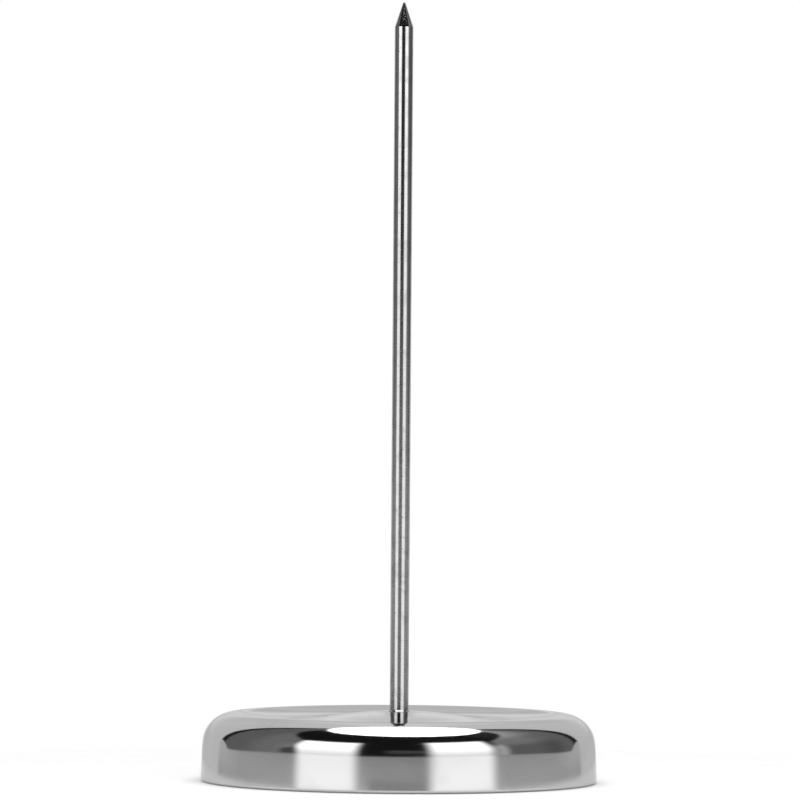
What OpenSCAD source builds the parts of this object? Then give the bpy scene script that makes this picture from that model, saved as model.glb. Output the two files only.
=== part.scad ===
// Bill spike: a pointed steel spindle on a round, weighted base.
// The origin is the middle of the face that it stands on, and Z points up.

/* [Spindle] */
// Height of the point above the table
overall_h = 174.3; // [120:0.1:260]
// Diameter of the spindle
spindle_d = 4.2; // [3:0.1:6]
// Length of the ground point
point_l = 5.6; // [4:0.1:12]
// Radius of the rounded tip
tip_r = 0.25; // [0.1:0.05:0.6]
// Width of the shoulder that the spindle stands on
shoulder_w = 0.6; // [0.4:0.05:0.8]
// Width and height of the flare round the spindle's foot
foot_flare = 0.3; // [0.2:0.05:1]
// Chamfer at the end of the stud
stud_chamfer = 0.4; // [0.1:0.1:0.6]

/* [Base] */
// Diameter of the base at its lower edge
base_d = 88.6; // [70:0.1:130]
// Height of the rim above the table
rim_h = 15.3; // [13:0.1:22]
// Radius of the round on the rim
rim_round = 6.9; // [4:0.1:8]
// Lean of the skin where the round gives way to the brow, in degrees
brow_lean = 8; // [5:0.5:15]
// Radius of the brow between the round and the side wall
brow_r = 20; // [10:1:40]
// Lean of the side wall at its top, in degrees
wall_lean = 3.6; // [2:0.1:5]
// Radius of the side wall's slight bulge
wall_bulge = 230; // [180:10:400]
// Height of the dome's top above the rim
dome_rise = 0.5; // [0:0.1:2]
// Radius of the dome
dome_r = 95; // [80:1:150]
// Radius of the hollow ring between the rim and the dome
hollow_r = 50; // [30:1:90]
// Width of the flat that shows round the spindle's foot
seat_land = 0.6; // [0.3:0.1:3]
// Thickness of the sheet that the shell is drawn from
sheet_t = 0.8; // [0.5:0.1:1]
// Outer radius of the corner that is pressed at the lower edge
corner_r = 0.3; // [0.2:0.1:1]
// Inner radius of that corner
corner_inner_r = 0.1; // [0.1:0.1:0.5]
// Width of the edge that is turned in below the plate
hem_w = 3; // [2:0.5:6]

/* [Weight] */
// Thickness of the weight's disc
disc_t = 6.5; // [3:0.5:8]
// Round on the disc's upper edge
disc_round = 1.5; // [0.5:0.1:2.5]
// Wall of the boss round the nut
boss_wall = 2; // [1.5:0.5:4]
// Fillet where the boss meets the disc
boss_fillet = 2.5; // [1:0.5:4]

/* [Fastening] */
// Width across the nut's flats
nut_af = 5.5; // [5.5:0.5:8]
// Height of the nut
nut_h = 2.4; // [1.8:0.1:4]
// Slope of the chamfer on the nut's faces, in degrees
nut_slope = 30; // [20:5:45]
// Outer diameter of the flat washer
washer_d = 7; // [6.5:0.5:10]
// Thickness of the flat washer
washer_t = 0.5; // [0.3:0.1:1]
// Outer diameter of the spring washer
spring_d = 6.2; // [6:0.1:9]
// Thickness of the spring washer
spring_t = 0.8; // [0.5:0.1:1.2]
// Width of the split in the spring washer
split_w = 0.8; // [0.4:0.1:1.2]
// Slant of the split, in degrees
split_slant = 25; // [0:5:40]
// Length of stud below the nut
stud_tail = 1; // [0.5:0.1:2]

/* [Underside] */
// Thickness of the plate that closes the base
plate_t = 1; // [0.6:0.1:1.5]
// How far the pad stands out below the shell
pad_proud = 0.2; // [0.1:0.1:1]

/* [Clearances] */
// Round the stud in the shell, the weight and the washers
stud_gap = 0.1; // [0.05:0.05:0.25]
// Round the stud in the nut
thread_gap = 0.02; // [0.01:0.01:0.05]
// Round the edges of the weight, the plate and the pad
edge_gap = 0.3; // [0.1:0.05:0.5]
// Room for a socket round the nut
socket_gap = 2.5; // [2:0.5:4]
// Between the end of the stud and the plate
tail_gap = 1.1; // [0.5:0.1:2]

/* [Hidden] */
$fn = 180;

// Overshoot of a cut past the face that it opens
cut = 1;
// Overlap of neighbouring arcs, so that each pair of them crosses and leaves no sliver
lap = 0.001;
// Sides of a hexagon nut
nut_sides = 6;

// Radii, from the axis out
spindle_r = spindle_d / 2;
stud_r = spindle_r - shoulder_w;
hole_r = stud_r + stud_gap;
foot_r = spindle_r + foot_flare;
seat_r = foot_r + seat_land;
recess_r = washer_d / 2 + socket_gap;
boss_r = recess_r + boss_wall;
mouth_r = base_d / 2 - hem_w - sheet_t;

// Heights, from the table up
edge_z = pad_proud;
plate_z = edge_z + sheet_t;
weight_z = plate_z + plate_t;
stud_end_z = weight_z + tail_gap;
nut_z = stud_end_z + stud_tail;
spring_z = nut_z + nut_h;
washer_z = spring_z + spring_t;
recess_z = washer_z + washer_t;
disc_z = weight_z + disc_t;
dome_z = rim_h + dome_rise;
seat_z = dome_z - dome_r + sqrt(dome_r ^ 2 - seat_r ^ 2);
boss_z = seat_z - sheet_t;
flare_z = seat_z + foot_flare;
shaft_z = overall_h - point_l;

// Middles of the arcs that the base is drawn with
brow_step = (brow_r - rim_round + lap) * out_dir(brow_lean);
wall_step = (wall_bulge - brow_r + lap) * out_dir(wall_lean);
wall_c_z = rim_h - rim_round - brow_step[1] - wall_step[1];
wall_c = [base_d / 2 - sqrt(wall_bulge ^ 2 - (edge_z - wall_c_z) ^ 2), wall_c_z];
brow_c = wall_c + wall_step;
rim_c = brow_c + brow_step;
dome_c = [0, dome_z - dome_r];
hollow_c = resting_centre(rim_c, rim_round - lap, dome_c, dome_r - lap, hollow_r);

// Direction straight out of a skin that leans in by an angle
function out_dir(lean) = [cos(lean), sin(lean)];

// Centre of a circle of radius r that rests on two others
function resting_centre(a, a_r, b, b_r, r) =
    let (
        span = norm(b - a),
        dir = (b - a) / span,
        along = ((a_r + r) ^ 2 - (b_r + r) ^ 2 + span ^ 2) / (2 * span),
        across = sqrt((a_r + r) ^ 2 - along ^ 2)
    )
    a + along * dir + across * [dir[1], -dir[0]];

// Where a line from a point touches a circle on the right of the way to its centre
function touch_point(from, centre, r) =
    let (
        span = norm(centre - from),
        dir = (centre - from) / span,
        share = r / span
    )
    centre + r * (sqrt(1 - share ^ 2) * [dir[1], -dir[0]] - share * dir);

// Point at a distance from a on the way to b
function towards(a, b, distance) = a + distance * (b - a) / norm(b - a);

// Where an inset skin passes from the side wall to the brow, and from the brow to the round
function wall_top(inset) = wall_c + (wall_bulge - inset) * out_dir(wall_lean);
function brow_top(inset) = brow_c + (brow_r - inset) * out_dir(brow_lean);

// Radius of an inset skin at a height, on the side wall, the brow or the round
function skin_r(z, inset) =
    z < wall_top(inset)[1] ? circle_r(z, wall_c, wall_bulge - inset)
    : z < brow_top(inset)[1] ? circle_r(z, brow_c, brow_r - inset)
    : circle_r(z, rim_c, rim_round - inset);

// Distance of a circle's outer side from the axis, at a height
function circle_r(z, centre, r) = centre[0] + sqrt(r ^ 2 - (z - centre[1]) ^ 2);

// Part of a disc between two heights, on the right of the axis
module slice(centre, r, low_z, high_z) {
    intersection() {
        translate(centre) circle(r);
        translate([0, low_z]) square([base_d, high_z - low_z]);
    }
}

// Half section of the base, inset from its outer skin, with a flat floor and a rounded lower edge
module base_section(inset, floor_z, edge_r) {
    edge_c = [circle_r(floor_z + edge_r, wall_c, wall_bulge - inset - edge_r) + lap, floor_z + edge_r];
    edge_touch = towards(wall_c, edge_c, wall_bulge - inset);
    rim_touch = towards(rim_c, hollow_c, rim_round - inset);
    dome_touch = towards(dome_c, hollow_c, dome_r - inset);
    difference() {
        union() {
            polygon([
                [0, floor_z],
                [edge_c[0], floor_z],
                edge_c,
                edge_touch,
                wall_top(inset),
                brow_top(inset),
                rim_c,
                rim_touch,
                dome_touch,
                [0, dome_touch[1]],
            ]);
            translate(edge_c) circle(edge_r);
            slice(wall_c, wall_bulge - inset, edge_touch[1], wall_top(inset)[1]);
            slice(brow_c, brow_r - inset, brow_c[1], brow_top(inset)[1]);
            slice(rim_c, rim_round - inset, rim_c[1], rim_h + cut);
            slice(dome_c, dome_r - inset, dome_touch[1], seat_z - inset);
        }
        translate(hollow_c) circle(hollow_r + inset);
    }
}

// Flat ring round the axis, standing at a height
module ring(z, outer_r, inner_r, thickness) {
    translate([0, 0, z]) difference() {
        cylinder(h = thickness, r = outer_r);
        translate([0, 0, -cut]) cylinder(h = thickness + 2 * cut, r = inner_r);
    }
}

// Steel rod: a ground point above, a flared foot on the dome and a stud through the base
module spindle() {
    tip_c = [0, overall_h - tip_r];
    tip_touch = touch_point([spindle_r, shaft_z], tip_c, tip_r);
    color("gainsboro") rotate_extrude() {
        polygon([
            [0, stud_end_z],
            [stud_r - stud_chamfer, stud_end_z],
            [stud_r, stud_end_z + stud_chamfer],
            [stud_r, seat_z],
            [foot_r, seat_z],
            [spindle_r, flare_z],
            [spindle_r, shaft_z],
            tip_touch,
            tip_c,
        ]);
        slice(tip_c, tip_r, tip_c[1], overall_h);
    }
}

// Drawn shell: dome, hollow ring, rim, brow and side wall, with its lower edge turned in
module base_shell() {
    color("silver") rotate_extrude() difference() {
        base_section(0, edge_z, corner_r);
        base_section(sheet_t, plate_z, corner_inner_r);
        translate([0, edge_z - cut]) square([mouth_r, sheet_t + 2 * cut]);
        square([hole_r, dome_z + cut]);
    }
}

// Cast weight: a disc on the plate, with a boss that carries the middle of the dome
module ballast_weight() {
    disc_r = skin_r(disc_z, sheet_t + edge_gap);
    fillet_c = [boss_r + boss_fillet, disc_z + boss_fillet];
    color("dimgray") rotate_extrude() difference() {
        union() {
            translate([0, weight_z]) square([disc_r - disc_round, disc_t]);
            translate([0, weight_z]) square([disc_r, disc_t - disc_round]);
            translate([disc_r - disc_round, disc_z - disc_round]) circle(disc_round);
            translate([0, weight_z]) square([seat_r - edge_gap, boss_z - weight_z]);
            intersection() {
                base_section(sheet_t + edge_gap, weight_z, corner_inner_r);
                translate([0, weight_z]) square([boss_r, dome_z]);
            }
            difference() {
                translate([boss_r, disc_z]) square(boss_fillet);
                translate(fillet_c) circle(boss_fillet);
            }
        }
        translate([0, weight_z - cut]) square([recess_r, recess_z - weight_z + cut]);
        square([hole_r, dome_z]);
    }
}

// Flat washer against the roof of the recess
module flat_washer() {
    color("lightgray") ring(washer_z, washer_d / 2, hole_r, washer_t);
}

// Spring washer, pressed flat, with its split across one side
module spring_washer() {
    color("darkgray") difference() {
        ring(spring_z, spring_d / 2, hole_r, spring_t);
        translate([spring_d / 2, 0, spring_z + spring_t / 2])
            rotate([split_slant, 0, 0])
                cube([spring_d, split_w, spring_t + 2 * cut], center = true);
    }
}

// Hexagon nut with both faces chamfered
module hex_nut() {
    flat_r = nut_af / 2;
    corner_r = flat_r / cos(180 / nut_sides);
    chamfer_h = (corner_r - flat_r) * tan(nut_slope);
    color("lightgray") translate([0, 0, nut_z]) difference() {
        intersection() {
            linear_extrude(nut_h) circle(corner_r, $fn = nut_sides);
            rotate_extrude() polygon([
                [0, 0],
                [flat_r, 0],
                [corner_r, chamfer_h],
                [corner_r, nut_h - chamfer_h],
                [flat_r, nut_h],
                [0, nut_h],
            ]);
        }
        translate([0, 0, -cut]) cylinder(h = nut_h + 2 * cut, r = stud_r + thread_gap);
    }
}

// Blanked plate that lies on the turned-in edge and closes the base
module bottom_plate() {
    plate_r = skin_r(weight_z, sheet_t) - corner_inner_r - edge_gap;
    color("slategray") translate([0, 0, plate_z]) cylinder(h = plate_t, r = plate_r);
}

// Rubber pad stuck to the plate inside the turned-in edge
module non_slip_pad() {
    color("black") cylinder(h = plate_z, r = mouth_r - edge_gap);
}

spindle();
base_shell();
ballast_weight();
flat_washer();
spring_washer();
hex_nut();
bottom_plate();
non_slip_pad();
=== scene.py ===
import math

import bmesh
import bpy
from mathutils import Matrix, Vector


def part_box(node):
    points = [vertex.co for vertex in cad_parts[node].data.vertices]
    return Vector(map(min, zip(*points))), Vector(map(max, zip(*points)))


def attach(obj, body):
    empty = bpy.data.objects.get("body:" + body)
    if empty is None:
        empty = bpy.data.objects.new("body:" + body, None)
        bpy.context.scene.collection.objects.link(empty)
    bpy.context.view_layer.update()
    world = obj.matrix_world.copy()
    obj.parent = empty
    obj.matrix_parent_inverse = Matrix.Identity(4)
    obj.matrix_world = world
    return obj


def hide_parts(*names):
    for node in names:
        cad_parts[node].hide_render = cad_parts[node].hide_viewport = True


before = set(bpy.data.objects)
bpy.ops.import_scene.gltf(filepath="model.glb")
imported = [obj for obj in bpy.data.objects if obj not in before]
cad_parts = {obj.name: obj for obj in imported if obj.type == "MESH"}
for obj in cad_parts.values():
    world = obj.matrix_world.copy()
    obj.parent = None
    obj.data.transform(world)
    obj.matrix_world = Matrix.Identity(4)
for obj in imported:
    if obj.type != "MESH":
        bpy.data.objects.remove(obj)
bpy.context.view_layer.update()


# Non-slip pad. A die-cut disc of black rubber with a fine moulded grain, stuck to the plate
# inside the shell's turned-in edge, so that the spike stands on rubber and not on metal.
pad_black = (0.022, 0.022, 0.023, 1)
pad_worn = (0.052, 0.051, 0.049, 1)
pad_dust = (0.20, 0.19, 0.18, 1)
pad_grain_size = 0.0006
pad_grain_depth = 0.00006
pad_worn_grain = (0.4, 0.7)
pad_smooth_grain = (0.3, 0.7)
pad_roughness = (0.92, 0.74)
lint_spacing = 0.004
lint_r = 0.00035
grain_detail = 4
grain_roughness = 0.6
speck_core_share = 0.5


def new_group(name, inputs, outputs):
    """An empty shader node group, with the sockets at its two ends."""
    group = bpy.data.node_groups.new(name, "ShaderNodeTree")
    for label in inputs:
        group.interface.new_socket(label, in_out="INPUT", socket_type="NodeSocketFloat")
    for label in outputs:
        group.interface.new_socket(label, in_out="OUTPUT", socket_type="NodeSocketFloat")
    return group, group.nodes.new("NodeGroupInput").outputs, group.nodes.new("NodeGroupOutput").inputs


def feed(tree, value, socket):
    """Links a socket to another, or sets a plain value on it."""
    if isinstance(value, bpy.types.NodeSocket):
        tree.links.new(value, socket)
    else:
        socket.default_value = value


def calc(tree, operation, *values):
    """The result of a maths node whose values are sockets or numbers."""
    node = tree.nodes.new("ShaderNodeMath")
    node.operation = operation
    for value, socket in zip(values, node.inputs):
        feed(tree, value, socket)
    return node.outputs[0]


def step_between(tree, value, span, results=(0, 1)):
    """A smooth step from one result to the other while a value crosses a span."""
    node = tree.nodes.new("ShaderNodeMapRange")
    node.interpolation_type = "SMOOTHSTEP"
    for setting, socket in zip((value, *span, *results), node.inputs):
        feed(tree, setting, socket)
    return node.outputs["Result"]


def blend_colours(tree, mask, first, second):
    """The first colour where the mask is 0 and the second where it is 1."""
    node = tree.nodes.new("ShaderNodeMix")
    node.data_type = "RGBA"
    feed(tree, mask, node.inputs["Factor"])
    feed(tree, first, node.inputs["A"])
    feed(tree, second, node.inputs["B"])
    return node.outputs["Result"]


def own_place(tree):
    """The place of each point of a surface, in the frame of its own piece."""
    return tree.nodes.new("ShaderNodeTexCoord").outputs["Object"]


def cloudy(tree, place, scale, detail):
    """A noise node, which gives an uneven value from place to place."""
    node = tree.nodes.new("ShaderNodeTexNoise")
    feed(tree, place, node.inputs["Vector"])
    feed(tree, scale, node.inputs["Scale"])
    node.inputs["Detail"].default_value = detail
    return node


def place_group(tree, group, **settings):
    """A node group placed in a material with its own values."""
    node = tree.nodes.new("ShaderNodeGroup")
    node.node_tree = group
    for label, value in settings.items():
        feed(tree, value, node.inputs[label])
    return node.outputs


def raised(tree, height, depth):
    """The normal of a surface that stands out by the depth where the height is 1."""
    node = tree.nodes.new("ShaderNodeBump")
    node.inputs["Distance"].default_value = depth
    feed(tree, height, node.inputs["Height"])
    return node.outputs["Normal"]


def new_finish(name, metallic):
    """A material with its shader's inputs, ready for the nodes of its finish."""
    material = bpy.data.materials.new(name)
    material.use_nodes = True
    shader = material.node_tree.nodes["Principled BSDF"]
    shader.inputs["Metallic"].default_value = metallic
    return material, material.node_tree, shader.inputs


def wear_finish(node, material):
    """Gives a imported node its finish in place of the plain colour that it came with."""
    node.data.materials.clear()
    node.data.materials.append(material)


grain_group, grain_in, grain_out = new_group("moulded_grain", ["Size"], ["Grain"])
grain_scale = calc(grain_group, "DIVIDE", 1, grain_in["Size"])
grain_noise = cloudy(grain_group, own_place(grain_group), grain_scale, grain_detail)
grain_noise.inputs["Roughness"].default_value = grain_roughness
feed(grain_group, grain_noise.outputs["Fac"], grain_out["Grain"])

specks_group, specks_in, specks_out = new_group("scattered_specks", ["Spacing", "Radius"], ["Specks"])
specks_cells = specks_group.nodes.new("ShaderNodeTexVoronoi")
feed(specks_group, own_place(specks_group), specks_cells.inputs["Vector"])
feed(specks_group, calc(specks_group, "DIVIDE", 1, specks_in["Spacing"]), specks_cells.inputs["Scale"])
specks_reach = calc(specks_group, "MULTIPLY", specks_cells.outputs["Distance"], specks_in["Spacing"])
specks_core = calc(specks_group, "MULTIPLY", specks_in["Radius"], speck_core_share)
specks_span = (specks_core, specks_in["Radius"])
feed(specks_group, step_between(specks_group, specks_reach, specks_span, (1, 0)), specks_out["Specks"])

pad_rubber, tree, pad_shader = new_finish("pad_rubber", metallic=0)
pad_grain = place_group(tree, grain_group, Size=pad_grain_size)["Grain"]
pad_lint = place_group(tree, specks_group, Spacing=lint_spacing, Radius=lint_r)["Specks"]
pad_tone = blend_colours(tree, step_between(tree, pad_grain, pad_worn_grain), pad_black, pad_worn)
feed(tree, blend_colours(tree, pad_lint, pad_tone, pad_dust), pad_shader["Base Color"])
feed(tree, step_between(tree, pad_grain, pad_smooth_grain, pad_roughness), pad_shader["Roughness"])
feed(tree, raised(tree, pad_grain, pad_grain_depth), pad_shader["Normal"])
wear_finish(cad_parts["non_slip_pad"], pad_rubber)


# Bottom plate. A disc blanked from zinc-plated sheet steel, which lies on the shell's
# turned-in edge and closes the base under the weight.
plate_patch = 0.012
zinc_bright = (0.60, 0.61, 0.62, 1)
zinc_dull = (0.44, 0.45, 0.46, 1)
zinc_stain = (0.30, 0.29, 0.27, 1)
zinc_dull_cover = 0.55
zinc_dull_roughness = 0.15
zinc_stain_cover = 0.4
zinc_stain_depth = 0.4
zinc_stains_per_patch = 3
zinc_lines_per_patch = 40
zinc_line_drift = 3
zinc_line_spread = (0.3, 0.7)
zinc_line_roughness = (0.26, 0.38)
zinc_patch_per_relief = 4000
lines_detail = 3
haze_detail = 5
haze_swirl = 0.6
haze_fade = 0.25


def split(tree, place):
    """The x, y and z of a place."""
    node = tree.nodes.new("ShaderNodeSeparateXYZ")
    feed(tree, place, node.inputs["Vector"])
    return node.outputs


lines_group, lines_in, lines_out = new_group("polishing_lines", ["Pitch", "Drift"], ["Lines"])
lines_x, lines_y, lines_z = split(lines_group, own_place(lines_group))
lines_square = calc(lines_group, "MULTIPLY", lines_x, lines_x)
lines_radius = calc(lines_group, "SQRT", calc(lines_group, "MULTIPLY_ADD", lines_y, lines_y, lines_square))
lines_round = calc(lines_group, "DIVIDE", lines_in["Drift"], lines_radius)
lines_turn = lines_group.nodes.new("ShaderNodeCombineXYZ")
feed(lines_group, calc(lines_group, "MULTIPLY", lines_x, lines_round), lines_turn.inputs["X"])
feed(lines_group, calc(lines_group, "MULTIPLY", lines_y, lines_round), lines_turn.inputs["Y"])
feed(lines_group, calc(lines_group, "DIVIDE", lines_radius, lines_in["Pitch"]), lines_turn.inputs["Z"])
lines_noise = cloudy(lines_group, lines_turn.outputs["Vector"], 1, lines_detail)
lines_noise.noise_dimensions = "4D"
feed(lines_group, calc(lines_group, "DIVIDE", lines_z, lines_in["Pitch"]), lines_noise.inputs["W"])
feed(lines_group, lines_noise.outputs["Fac"], lines_out["Lines"])

haze_group, haze_in, haze_out = new_group("handling_haze", ["Patch", "Cover"], ["Haze"])
haze_scale = calc(haze_group, "DIVIDE", 1, haze_in["Patch"])
haze_noise = cloudy(haze_group, own_place(haze_group), haze_scale, haze_detail)
haze_noise.inputs["Distortion"].default_value = haze_swirl
haze_edge = calc(haze_group, "SUBTRACT", 1, haze_in["Cover"])
haze_span = (haze_edge, calc(haze_group, "ADD", haze_edge, haze_fade))
feed(haze_group, step_between(haze_group, haze_noise.outputs["Fac"], haze_span), haze_out["Haze"])


def zinc_finish(name, patch):
    """Zinc plate: bright and dull patches, thin stains and the faint lines of the tool."""
    material, tree, shader = new_finish(name, metallic=1)
    stain_patch = patch / zinc_stains_per_patch
    line_pitch = patch / zinc_lines_per_patch
    relief = patch / zinc_patch_per_relief
    dull = place_group(tree, haze_group, Patch=patch, Cover=zinc_dull_cover)["Haze"]
    stains = place_group(tree, haze_group, Patch=stain_patch, Cover=zinc_stain_cover)["Haze"]
    lines = place_group(tree, lines_group, Pitch=line_pitch, Drift=zinc_line_drift)["Lines"]
    tone = blend_colours(tree, dull, zinc_bright, zinc_dull)
    thin_stains = calc(tree, "MULTIPLY", stains, zinc_stain_depth)
    feed(tree, blend_colours(tree, thin_stains, tone, zinc_stain), shader["Base Color"])
    line_roughness = step_between(tree, lines, zinc_line_spread, zinc_line_roughness)
    feed(tree, calc(tree, "MULTIPLY_ADD", dull, zinc_dull_roughness, line_roughness), shader["Roughness"])
    feed(tree, raised(tree, lines, relief), shader["Normal"])
    return material


wear_finish(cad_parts["bottom_plate"], zinc_finish("plate_zinc", plate_patch))


# Weight. A cast iron disc with a boss in the middle, left as it comes from the sand, which
# lies on the plate and carries the middle of the dome.
iron_dark = (0.055, 0.053, 0.052, 1)
iron_light = (0.12, 0.115, 0.11, 1)
iron_rust = (0.16, 0.075, 0.04, 1)
iron_metallic = 0.7
iron_grain_size = 0.0012
iron_grain_depth = 0.0002
iron_light_grain = (0.35, 0.7)
iron_smooth_grain = (0.3, 0.7)
iron_roughness = (0.85, 0.6)
rust_patch = 0.009
rust_cover = 0.35
rust_depth = 0.5

cast_iron, tree, iron_shader = new_finish("cast_iron", iron_metallic)
iron_grain = place_group(tree, grain_group, Size=iron_grain_size)["Grain"]
iron_tone = blend_colours(tree, step_between(tree, iron_grain, iron_light_grain), iron_dark, iron_light)
rust_bloom = place_group(tree, haze_group, Patch=rust_patch, Cover=rust_cover)["Haze"]
thin_rust = calc(tree, "MULTIPLY", rust_bloom, rust_depth)
feed(tree, blend_colours(tree, thin_rust, iron_tone, iron_rust), iron_shader["Base Color"])
feed(tree, step_between(tree, iron_grain, iron_smooth_grain, iron_roughness), iron_shader["Roughness"])
feed(tree, raised(tree, iron_grain, iron_grain_depth), iron_shader["Normal"])
wear_finish(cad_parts["ballast_weight"], cast_iron)


# Washers and nut. Zinc-plated standard parts that pull the spindle's stud down through the
# shell and the weight: a flat washer, a split spring washer and a hexagon nut.
fastener_patch = 0.003

fastener_zinc = zinc_finish("fastener_zinc", fastener_patch)
for fastener in ("flat_washer", "spring_washer", "hex_nut"):
    wear_finish(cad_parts[fastener], fastener_zinc)


# Shell. A round cap drawn from bright steel sheet: a low dome in the middle, a shallow hollow
# ring, a raised rim, a steep brow and a side wall whose lower edge is turned in. The dome, the
# ring, the rim and the brow are buffed to a mirror, and the wall keeps a softer polish.
base_r = 0.0443
rim_h = 0.0153
rim_round = 0.0069
brow_r = 0.020
brow_lean = math.radians(8)
wall_bulge = 0.230
wall_lean = math.radians(3.6)
dome_h = 0.0158
dome_r = 0.095
hollow_r = 0.050
seat_r = 0.003
sheet_t = 0.0008
corner_r = 0.0003
corner_inner_r = 0.0001
hem_w = 0.003
stud_hole_r = 0.0016
shell_edge_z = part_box("base_shell")[0].z
quarter_turn = math.radians(90)
shell_turns = 360
outer_fineness = 4
inner_fineness = 2
dome_steps = 5
hollow_steps = 8
rim_steps = 10
brow_steps = 3
wall_steps = 6
edge_steps = 3
sharp_corner = math.radians(14)
weld_gap = 1e-7
shell_bright = (0.52, 0.52, 0.525, 1)
shell_hazed = (0.48, 0.48, 0.48, 1)
dome_painted_highlight = (0.64, 0.64, 0.64, 1)
dome_reach = (0.0215, 0.0265)
shell_speck = (0.12, 0.12, 0.12, 1)
grazing_tint = (0.78, 0.78, 0.78, 1)
shell_line_pitch = 0.00025
shell_line_drift = 1.5
shell_line_depth = 0.0000006
shell_line_roughness = 0.03
shell_haze_patch = 0.014
shell_haze_cover = 0.5
shell_haze_roughness = 0.015
shell_pit_spacing = 0.017
shell_pit_r = 0.00022
shell_pit_roughness = 0.4
shell_roughness = (0.09, 0.06)
buff_below = 0.0008
buff_above = 0.0012


def heading(start, end):
    """The direction from one point of the half section to another, as an angle."""
    return math.atan2(end.y - start.y, end.x - start.x)


def arc(centre, radius, start, end, steps):
    """Points along an arc of the half section, each as distance from the axis and height."""
    turns = [start + (end - start) * step / steps for step in range(steps + 1)]
    return [centre + radius * Vector((math.cos(turn), math.sin(turn))) for turn in turns]


def leaning(lean):
    """The direction straight out of a skin that leans in by an angle."""
    return Vector((math.cos(lean), math.sin(lean)))


def resting_centre(first, first_r, second, second_r, radius):
    """The centre of a circle that rests on two others from above."""
    span = (second - first).length
    along = ((first_r + radius) ** 2 - (second_r + radius) ** 2 + span ** 2) / (2 * span)
    across = math.sqrt((first_r + radius) ** 2 - along ** 2)
    way = (second - first) / span
    return first + along * way + across * Vector((way.y, -way.x))


def turned(name, outline, closed, turns):
    """A piece turned from its half section, with its hard corners kept sharp."""
    shape = bmesh.new()
    points = [shape.verts.new((point.x, 0, point.y)) for point in outline]
    edges = [shape.edges.new(pair) for pair in zip(points, points[1:])]
    if closed:
        edges.append(shape.edges.new((points[-1], points[0])))
    bmesh.ops.spin(
        shape,
        geom=points + edges,
        axis=(0, 0, 1),
        cent=(0, 0, 0),
        angle=2 * math.pi,
        steps=turns,
        use_merge=True,
    )
    bmesh.ops.remove_doubles(shape, verts=shape.verts, dist=weld_gap)
    bmesh.ops.recalc_face_normals(shape, faces=shape.faces)
    mesh = bpy.data.meshes.new(name)
    shape.to_mesh(mesh)
    shape.free()
    mesh.shade_smooth()
    mesh.set_sharp_from_angle(angle=sharp_corner)
    piece = bpy.data.objects.new(name, mesh)
    bpy.context.collection.objects.link(piece)
    return piece


brow_step = (brow_r - rim_round) * leaning(brow_lean)
wall_step = (wall_bulge - brow_r) * leaning(wall_lean)
wall_c_z = rim_h - rim_round - brow_step.y - wall_step.y
wall_c = Vector((base_r - math.sqrt(wall_bulge ** 2 - (shell_edge_z - wall_c_z) ** 2), wall_c_z))
wall_top_z = wall_c_z + wall_bulge * math.sin(wall_lean)
brow_c = wall_c + wall_step
rim_c = brow_c + brow_step
dome_c = Vector((0, dome_h - dome_r))
hollow_c = resting_centre(rim_c, rim_round, dome_c, dome_r, hollow_r)
dome_end = heading(dome_c, hollow_c)
hollow_start = heading(hollow_c, dome_c)
hollow_end = heading(hollow_c, rim_c)
rim_start = heading(rim_c, hollow_c)
seat_z = dome_c.y + math.sqrt(dome_r ** 2 - seat_r ** 2)


def shell_skin(inset, floor_z, edge_r, fineness):
    """One skin of the shell's sheet, from the seat outwards and down to the lower edge."""
    edge_reach = wall_bulge - inset - edge_r
    edge_drop = floor_z + edge_r - wall_c.y
    edge_c = wall_c + Vector((math.sqrt(edge_reach ** 2 - edge_drop ** 2), edge_drop))
    edge_lean = heading(wall_c, edge_c)
    dome_start = heading(dome_c, Vector((seat_r, seat_z - inset)))
    skin = [Vector((stud_hole_r, seat_z - inset))]
    skin += arc(dome_c, dome_r - inset, dome_start, dome_end, dome_steps * fineness)
    skin += arc(hollow_c, hollow_r + inset, hollow_start, hollow_end, hollow_steps * fineness)[1:]
    skin += arc(rim_c, rim_round - inset, rim_start, brow_lean, rim_steps * fineness)[1:]
    skin += arc(brow_c, brow_r - inset, brow_lean, wall_lean, brow_steps * fineness)[1:]
    skin += arc(wall_c, wall_bulge - inset, wall_lean, edge_lean, wall_steps * fineness)[1:]
    return skin + arc(edge_c, edge_r, edge_lean, -quarter_turn, edge_steps * fineness)[1:]


def reach(tree, place):
    """The distance of a place from the origin."""
    node = tree.nodes.new("ShaderNodeVectorMath")
    node.operation = "LENGTH"
    feed(tree, place, node.inputs[0])
    return node.outputs["Value"]


mouth_r = base_r - hem_w - sheet_t
plate_z = shell_edge_z + sheet_t
shell_outline = shell_skin(0, shell_edge_z, corner_r, outer_fineness)
shell_outline += [Vector((mouth_r, shell_edge_z)), Vector((mouth_r, plate_z))]
shell_outline += reversed(shell_skin(sheet_t, plate_z, corner_inner_r, inner_fineness))
shell = turned("drawn_shell", shell_outline, True, shell_turns)

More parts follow.
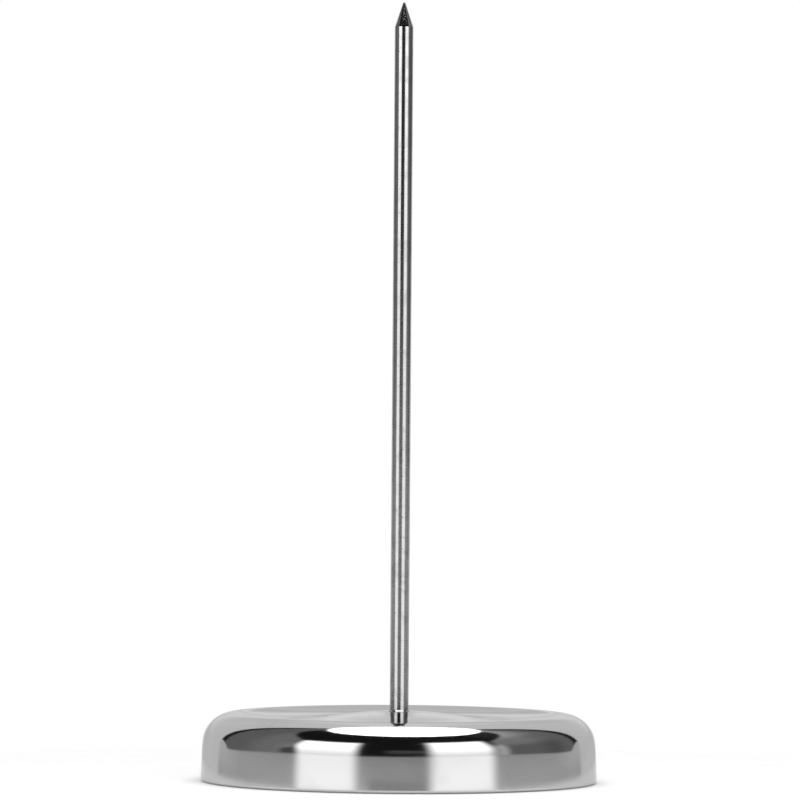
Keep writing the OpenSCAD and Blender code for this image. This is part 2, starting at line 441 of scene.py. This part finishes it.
shell_steel, tree, shell_shader = new_finish("shell_steel", metallic=1)
shell_shader["Specular Tint"].default_value = grazing_tint
shell_place = own_place(tree)
shell_lines = place_group(tree, lines_group, Pitch=shell_line_pitch, Drift=shell_line_drift)["Lines"]
shell_haze = place_group(tree, haze_group, Patch=shell_haze_patch, Cover=shell_haze_cover)["Haze"]
shell_pits = place_group(tree, specks_group, Spacing=shell_pit_spacing, Radius=shell_pit_r)["Specks"]
# Painted highlight: the dome gets a lighter steel colour than the ring, the rim and the wall, which
# brightens its reflections.
dome_highlight_mask = step_between(tree, reach(tree, shell_place), dome_reach, (1, 0))
shell_tone = blend_colours(tree, shell_haze, shell_bright, shell_hazed)
shell_tone = blend_colours(tree, dome_highlight_mask, shell_tone, dome_painted_highlight)
feed(tree, blend_colours(tree, shell_pits, shell_tone, shell_speck), shell_shader["Base Color"])
buff_edge = (wall_top_z - buff_below, wall_top_z + buff_above)
buffed_roughness = step_between(tree, split(tree, shell_place)["Z"], buff_edge, shell_roughness)
buffed_roughness = calc(tree, "MULTIPLY_ADD", shell_lines, shell_line_roughness, buffed_roughness)
buffed_roughness = calc(tree, "MULTIPLY_ADD", shell_haze, shell_haze_roughness, buffed_roughness)
buffed_roughness = calc(tree, "MULTIPLY_ADD", shell_pits, shell_pit_roughness, buffed_roughness)
feed(tree, buffed_roughness, shell_shader["Roughness"])
feed(tree, raised(tree, shell_lines, shell_line_depth), shell_shader["Normal"])
shell.data.materials.append(shell_steel)
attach(shell, "root")
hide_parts("base_shell")


# Spindle. A straight rod of bright drawn steel with a ground point, whose flared foot stands
# on the dome. Its thinner stud goes down through the shell and the weight into the nut.
spindle_r = 0.0021
stud_r = 0.0015
stud_chamfer = 0.0004
foot_flare = 0.0003
point_l = 0.0056
tip_r = 0.00025
tip_steps = 8
spindle_turns = 128
shaft_shares = (0.02, 0.1, 0.3, 0.5, 0.7, 0.9, 0.98)
spindle_low, spindle_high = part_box("spindle")
spindle_bright = (0.49, 0.49, 0.495, 1)
spindle_drawn = (0.36, 0.36, 0.36, 1)
spindle_pits_and_shade = (0.16, 0.155, 0.15, 1)
foot_shade_h = 2 * foot_flare
foot_shade_depth = 0.8
spindle_haze_patch = 0.003
spindle_haze_cover = 0.55
spindle_haze_depth = 0.7
spindle_haze_roughness = 0.05
spindle_pit_spacing = 0.0014
spindle_pit_r = 0.0002
spindle_pit_depth = 0.6
spindle_pit_roughness = 0.3
spindle_roughness = 0.1
spindle_ring_pitch = 0.00015
spindle_ring_drift = 2
spindle_ring_depth = 0.000015


def along(start, end, shares):
    """Points on a straight stretch of the half section, at shares of its length."""
    return [start.lerp(end, share) for share in shares]


flare_top = Vector((spindle_r, seat_z + foot_flare))
point_foot = Vector((spindle_r, spindle_high.z - point_l))
tip_c = Vector((0, spindle_high.z - tip_r))
tip_start = heading(point_foot, tip_c) - quarter_turn - math.asin(tip_r / (tip_c - point_foot).length)
spindle_outline = [
    Vector((0, spindle_low.z)),
    Vector((stud_r - stud_chamfer, spindle_low.z)),
    Vector((stud_r, spindle_low.z + stud_chamfer)),
    Vector((stud_r, seat_z)),
    Vector((spindle_r + foot_flare, seat_z)),
    flare_top,
]
spindle_outline += along(flare_top, point_foot, shaft_shares)
spindle_outline.append(point_foot)
spindle_outline += arc(tip_c, tip_r, tip_start, quarter_turn, tip_steps)
spindle = turned("pointed_spindle", spindle_outline, False, spindle_turns)

spindle_steel, tree, spindle_shader = new_finish("spindle_steel", metallic=1)
spindle_shader["Specular Tint"].default_value = grazing_tint
spindle_haze = place_group(tree, haze_group, Patch=spindle_haze_patch, Cover=spindle_haze_cover)["Haze"]
spindle_pits = place_group(tree, specks_group, Spacing=spindle_pit_spacing, Radius=spindle_pit_r)["Specks"]
spindle_rings = place_group(tree, lines_group, Pitch=spindle_ring_pitch, Drift=spindle_ring_drift)["Lines"]
# Painted shade: the rod is darkened over twice the flare's height above the seat, where it stands on the
# dome. The pits use the same dark colour.
foot_shade_z = (seat_z, seat_z + foot_shade_h)
foot_shade = step_between(tree, split(tree, own_place(tree))["Z"], foot_shade_z, (foot_shade_depth, 0))
thin_haze = calc(tree, "MULTIPLY", spindle_haze, spindle_haze_depth)
thin_pits = calc(tree, "MULTIPLY", spindle_pits, spindle_pit_depth)
spindle_tone = blend_colours(tree, thin_haze, spindle_bright, spindle_drawn)
spindle_tone = blend_colours(tree, foot_shade, spindle_tone, spindle_pits_and_shade)
feed(tree, blend_colours(tree, thin_pits, spindle_tone, spindle_pits_and_shade), spindle_shader["Base Color"])
drawn_roughness = calc(tree, "MULTIPLY_ADD", spindle_pits, spindle_pit_roughness, spindle_roughness)
drawn_roughness = calc(tree, "MULTIPLY_ADD", spindle_haze, spindle_haze_roughness, drawn_roughness)
feed(tree, drawn_roughness, spindle_shader["Roughness"])
feed(tree, raised(tree, spindle_rings, spindle_ring_depth), spindle_shader["Normal"])
spindle.data.materials.append(spindle_steel)
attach(spindle, "root")
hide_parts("spindle")


# Table. A plain white sheet that the spike stands on, which fades out into the white
# background a hand's breadth away and keeps the soft shadow round the base.
table_r = 0.6
table_sides = 96
table_solid_r = 0.075
table_clear_r = 0.16
table_white = (0.80, 0.80, 0.80, 1)
table_roughness = 0.8
table_gloss = 0.1
table_lift = 0.12
pure_white = (1, 1, 1, 1)

table_shape = bmesh.new()
bmesh.ops.create_circle(table_shape, cap_ends=True, segments=table_sides, radius=table_r)
table_mesh = bpy.data.meshes.new("table")
table_shape.to_mesh(table_mesh)
table_shape.free()
table = bpy.data.objects.new("table", table_mesh)
bpy.context.collection.objects.link(table)
table_paper, tree, table_shader = new_finish("table_paper", metallic=0)
table_shader["Base Color"].default_value = table_white
table_shader["Roughness"].default_value = table_roughness
table_shader["Specular IOR Level"].default_value = table_gloss
table_shader["Emission Color"].default_value = pure_white
table_shader["Emission Strength"].default_value = table_lift
table_fade = step_between(tree, reach(tree, own_place(tree)), (table_solid_r, table_clear_r), (1, 0))
feed(tree, table_fade, table_shader["Alpha"])
table.data.materials.append(table_paper)


# Background. Plain white for the camera and for what shines, and a weaker white for the
# light that it casts on the table, so that the shadow round the base stays.
fill_level = 0.42

world = bpy.data.worlds.new("white_studio")
world.use_nodes = True
bpy.context.scene.world = world
tree = world.node_tree
white_ground = tree.nodes["Background"]
white_ground.inputs["Color"].default_value = pure_white
white_ground.inputs["Strength"].default_value = 1
fill_ground = tree.nodes.new("ShaderNodeBackground")
fill_ground.inputs["Color"].default_value = pure_white
fill_ground.inputs["Strength"].default_value = fill_level
rays = tree.nodes.new("ShaderNodeLightPath").outputs
seen_rays = calc(tree, "MAXIMUM", rays["Is Camera Ray"], rays["Is Glossy Ray"])
seen_rays = calc(tree, "MAXIMUM", seen_rays, rays["Is Transmission Ray"])
ground_mix = tree.nodes.new("ShaderNodeMixShader")
feed(tree, seen_rays, ground_mix.inputs["Fac"])
tree.links.new(fill_ground.outputs[0], ground_mix.inputs[1])
tree.links.new(white_ground.outputs[0], ground_mix.inputs[2])
tree.links.new(ground_mix.outputs[0], tree.nodes["World Output"].inputs["Surface"])


# Room. A dome of plain walls round the table, which only the metal shows. A place on it has a
# height and a turn from the camera's direction, positive to the right. Its light is worked out
# in the next four sections: the near walls, their skirt, the front panels and the far walls.
room_r = 0.9
room_low = math.radians(-14)
room_steps = 32
room_turns = 96
middle_turn = (-0.1, 0.1)


def by_side(tree, values):
    """The first value in the left half of the room and the second in the right half."""
    return step_between(tree, room_turn, middle_turn, values)


def in_degrees(first, second):
    """A pair of angles that are given in degrees."""
    return math.radians(first), math.radians(second)


room_outline = arc(Vector((0, 0)), room_r, room_low, quarter_turn, room_steps)
room = turned("studio_room", room_outline, False, room_turns)
room.visible_camera = False
room.visible_diffuse = False
room.visible_shadow = False
room_walls = bpy.data.materials.new("room_walls")
room_walls.use_nodes = True
tree = room_walls.node_tree
tree.nodes.remove(tree.nodes["Principled BSDF"])
room_x, room_y, room_z = split(tree, own_place(tree))
room_turn = calc(tree, "ARCTAN2", room_x, calc(tree, "MULTIPLY", room_y, -1))
room_side = calc(tree, "ABSOLUTE", room_turn)


# Near walls. The room on the camera's side: black in the middle, grey further round, and
# darkest along the edge where the far side begins. The right wall is shaded by its height.
grey_low_start = in_degrees(68, 57)
grey_mid_start = in_degrees(60.5, 57)
grey_top_start = math.radians(104)
grey_mid_z = (0.12, 0.28)
grey_top_z = (0.50, 0.88)
grey_fade = math.radians(8)
grey_levels = (0.012, 0.24)
grey_end_turn = in_degrees(85, 105)
grey_end_gain = 0.75
right_start_turn = in_degrees(60, 66)
right_mid_z = (0.25, 0.50)
right_mid_gain = (0.72, 1.25)
right_top_z = (0.55, 0.80)
right_top_gain = 2.9
right_end_turn = in_degrees(102, 120)
right_end_gain = 1.1
edge_shift = in_degrees(0.3, -2)
edge_turn = in_degrees(119.5, 124.5)
edge_z = (0.05, 0.15)
edge_gain = (0.5, 0.05)

grey_low = by_side(tree, grey_low_start)
grey_mid = by_side(tree, grey_mid_start)
grey_start = step_between(tree, room_z, grey_mid_z, (grey_low, grey_mid))
grey_start = step_between(tree, room_z, grey_top_z, (grey_start, grey_top_start))
grey_full = calc(tree, "ADD", grey_start, grey_fade)
near_level = step_between(tree, room_side, (grey_start, grey_full), grey_levels)
near_end = step_between(tree, room_side, grey_end_turn, (1, grey_end_gain))
near_level = calc(tree, "MULTIPLY", near_level, near_end)
right_gain = step_between(tree, room_z, right_mid_z, right_mid_gain)
right_gain = step_between(tree, room_z, right_top_z, (right_gain, right_top_gain))
right_gain = step_between(tree, room_turn, right_end_turn, (right_gain, right_end_gain))
right_gain = step_between(tree, room_turn, right_start_turn, (1, right_gain))
near_level = calc(tree, "MULTIPLY", near_level, right_gain)
room_bend = calc(tree, "ADD", room_side, by_side(tree, edge_shift))
edge_dark = step_between(tree, room_z, edge_z, edge_gain)
edge_dark = step_between(tree, room_bend, edge_turn, (1, edge_dark))
near_level = calc(tree, "MULTIPLY", near_level, edge_dark)


# Skirt of the near walls. A grey band at table height, which the wall of the base shows as its
# pale low band. A dark patch in the camera's direction gives the low spindle its dark middle.
skirt_turn = in_degrees(40, 80)
skirt_levels = (0.54, 0.51)
skirt_rise_z = (0, 0.09)
skirt_rise_gain = (1.15, 0.75)
skirt_end_turn = in_degrees(100, 125)
skirt_end_level = 0.70
below_table_z = (-0.04, 0)
below_table_gain = (0.35, 1)
patch_low_z = (-0.018, -0.006)
patch_high_z = (0, 0.022)
patch_turn = in_degrees(14, 20)
patch_gain = 0.12
skirt_top_turn = in_degrees(60, 120)
skirt_top_z = (0.074, 0.025)
skirt_lift_turn = in_degrees(116, 127)
skirt_lift_z = 0.15
skirt_fade = 0.016

skirt_level = step_between(tree, room_side, skirt_turn, skirt_levels)
skirt_rise = step_between(tree, room_z, skirt_rise_z, skirt_rise_gain)
skirt_level = calc(tree, "MULTIPLY", skirt_level, skirt_rise)
dark_patch = step_between(tree, room_z, patch_high_z, (patch_gain, 1))
dark_patch = step_between(tree, room_z, patch_low_z, (1, dark_patch))
dark_patch = step_between(tree, room_side, patch_turn, (dark_patch, 1))
skirt_level = calc(tree, "MULTIPLY", skirt_level, dark_patch)
skirt_level = step_between(tree, room_side, skirt_end_turn, (skirt_level, skirt_end_level))
below_table = step_between(tree, room_z, below_table_z, below_table_gain)
skirt_level = calc(tree, "MULTIPLY", skirt_level, below_table)
skirt_top = step_between(tree, room_side, skirt_top_turn, skirt_top_z)
skirt_top = step_between(tree, room_bend, skirt_lift_turn, (skirt_top, skirt_lift_z))
skirt_edge = (skirt_top, calc(tree, "ADD", skirt_top, skirt_fade))
near_level = step_between(tree, room_z, skirt_edge, (skirt_level, near_level))


# Front panels. The faces of the two front lamps as the metal shows them, with the light that
# they spill on the walls outside them and a faint glow in the gap between them.
spill_levels = (0.08, 0.42)
spill_start_turn = in_degrees(54, 59)
spill_fade_turn = math.radians(63)
spill_end_turn = in_degrees(82, 70)
spill_top_z = (0.28, 0.48)
panel_z = (0.04, 0.25)
panel_levels = (1.14, 2.2)
panel_top_z = (0.51, 0.55)
panel_top_fade = 0.06
left_inner_turn = in_degrees(-28.7, -20.5)
left_outer_z = (0.05, 0.40)
left_outer_turn = in_degrees(-63.7, -67)
left_outer_fade = math.radians(7.5)
right_inner_turn = in_degrees(14, 22.5)
right_outer_turn = in_degrees(51.5, 60)
glow_level = 0.08
glow_low_z = (0.13, 0.16)
glow_high_z = (0.19, 0.25)
glow_left_turn = in_degrees(-12, -2)
glow_right_turn = in_degrees(14, 20)

spill = step_between(tree, room_side, spill_start_turn, (0, by_side(tree, spill_levels)))
spill_end = by_side(tree, spill_end_turn)
spill = step_between(tree, room_side, (spill_fade_turn, spill_end), (spill, 0))
spill_rise = step_between(tree, room_z, spill_top_z, (1, 0))
spill_rise = step_between(tree, room_z, skirt_edge, (0, spill_rise))
near_level = calc(tree, "MULTIPLY_ADD", spill, spill_rise, near_level)
panel_level = step_between(tree, room_z, panel_z, panel_levels)
panel_top = by_side(tree, panel_top_z)
panel_end = calc(tree, "ADD", panel_top, panel_top_fade)
panel_level = step_between(tree, room_z, (panel_top, panel_end), (panel_level, 0))
left_panel = step_between(tree, room_turn, left_inner_turn, (1, 0))
left_outer = step_between(tree, room_z, left_outer_z, left_outer_turn)
left_full = calc(tree, "ADD", left_outer, left_outer_fade)
left_panel = step_between(tree, room_turn, (left_outer, left_full), (0, left_panel))
right_panel = step_between(tree, room_turn, right_inner_turn)
right_panel = step_between(tree, room_turn, right_outer_turn, (right_panel, 0))
panels = calc(tree, "ADD", left_panel, right_panel)
near_level = calc(tree, "MULTIPLY_ADD", panels, panel_level, near_level)
glow = step_between(tree, room_z, glow_low_z, (0, glow_level))
glow = step_between(tree, room_z, glow_high_z, (glow, 0))
glow = step_between(tree, room_turn, glow_left_turn, (0, glow))
glow = step_between(tree, room_turn, glow_right_turn, (glow, 0))
near_level = calc(tree, "ADD", near_level, glow)


# Far walls. The pale side of the room behind the spike, greyer low in the middle and brighter
# high up, with a narrow shaded post straight behind. They meet the near walls at a clear edge.
pale_turn = in_degrees(130, 170)
pale_levels = (0.88, 1)
far_low_turn = in_degrees(140, 165)
far_low_z = (0.10, 0.16)
far_low_gain = 0.78
far_mid_turn = in_degrees(150, 170)
far_mid_z = (0.20, 0.36)
far_mid_gain = 0.87
far_high_turn = in_degrees(160, 172)
far_high_z = (0.35, 0.60)
far_high_gain = 1.25
post_x = (0.008, 0.018)
post_low_z = (0.06, 0.10)
post_high_z = (0.24, 0.30)
post_gain = 0.78
far_edge_turn = in_degrees(127, 129)

far_low = step_between(tree, room_side, far_low_turn, (1, far_low_gain))
far_low = step_between(tree, room_z, far_low_z, (far_low, 1))
far_mid = step_between(tree, room_side, far_mid_turn, (1, far_mid_gain))
far_mid = step_between(tree, room_z, far_mid_z, (1, far_mid))
far_high = step_between(tree, room_side, far_high_turn, (1, far_high_gain))
far_high = step_between(tree, room_z, far_high_z, (1, far_high))
post = step_between(tree, calc(tree, "ABSOLUTE", room_x), post_x, (post_gain, 1))
post = step_between(tree, room_z, post_low_z, (1, post))
post = step_between(tree, room_z, post_high_z, (post, 1))
far_level = step_between(tree, room_side, pale_turn, pale_levels)
for far_gain in (far_low, far_mid, far_high, post):
    far_level = calc(tree, "MULTIPLY", far_level, far_gain)
room_level = step_between(tree, room_bend, far_edge_turn, (near_level, far_level))
room_glow = tree.nodes.new("ShaderNodeEmission")
feed(tree, room_level, room_glow.inputs["Strength"])
tree.links.new(room_glow.outputs[0], tree.nodes["Material Output"].inputs["Surface"])
room.data.materials.append(room_walls)


# Lamps. Two tall softboxes in front, left and right, which light the table while the room's
# panels show their faces, and one wide soft lamp overhead, which the metal shows itself.
front_level = 2.0
front_gap = 0.55
front_h = 0.40
front_middle_z = 0.16
left_lamp_turn = math.radians(-43.5)
left_lamp_w = 0.326
right_lamp_turn = math.radians(38)
right_lamp_w = 0.336
overhead_level = 3.0
overhead_w = 0.42
overhead_l = 0.39
overhead_place = Vector((0.018, -0.03, 0.45))


def soft_lamp(name, shape, width, height, place, aim, level, mirrored):
    """A softbox of plain white light, with its level given as the brightness of its face."""
    light = bpy.data.lights.new(name, "AREA")
    light.shape = shape
    light.size = width
    light.size_y = height
    light.energy = level * math.pi * width * height
    lamp = bpy.data.objects.new(name, light)
    lamp.location = place
    lamp.rotation_euler = (aim - place).to_track_quat("-Z", "Y").to_euler()
    lamp.visible_camera = False
    lamp.visible_glossy = mirrored
    bpy.context.collection.objects.link(lamp)


def on_camera_side(turn, distance, height):
    """A place at an angle from the camera's direction, positive to the right."""
    return Vector((distance * math.sin(turn), -distance * math.cos(turn), height))


left_place = on_camera_side(left_lamp_turn, front_gap, front_middle_z)
right_place = on_camera_side(right_lamp_turn, front_gap, front_middle_z)
front_aim = Vector((0, 0, front_middle_z))
overhead_aim = Vector((overhead_place.x, overhead_place.y, 0))
soft_lamp("left_lamp", "RECTANGLE", left_lamp_w, front_h, left_place, front_aim, front_level, False)
soft_lamp("right_lamp", "RECTANGLE", right_lamp_w, front_h, right_place, front_aim, front_level, False)
soft_lamp(
    "overhead_lamp", "ELLIPSE", overhead_w, overhead_l, overhead_place, overhead_aim, overhead_level, True
)


# Camera. A long lens at about half the spike's height, which looks level at it, with the
# slight tilt of the picture.
film_w = 36
picture_px = 800
px_per_m = 4473
camera_gap = 1.370
camera_h = 0.0853
camera_tilt = math.radians(-0.42)
camera_left = 0.00031

camera_data = bpy.data.cameras.new("camera")
camera_data.sensor_width = film_w
camera_data.lens = film_w * px_per_m * camera_gap / picture_px
camera = bpy.data.objects.new("camera", camera_data)
camera.location = (-camera_left, -camera_gap, camera_h)
camera.rotation_euler = (quarter_turn, camera_tilt, 0)
bpy.context.collection.objects.link(camera)
bpy.context.scene.camera = camera
bpy.context.scene.view_settings.view_transform = "Standard"
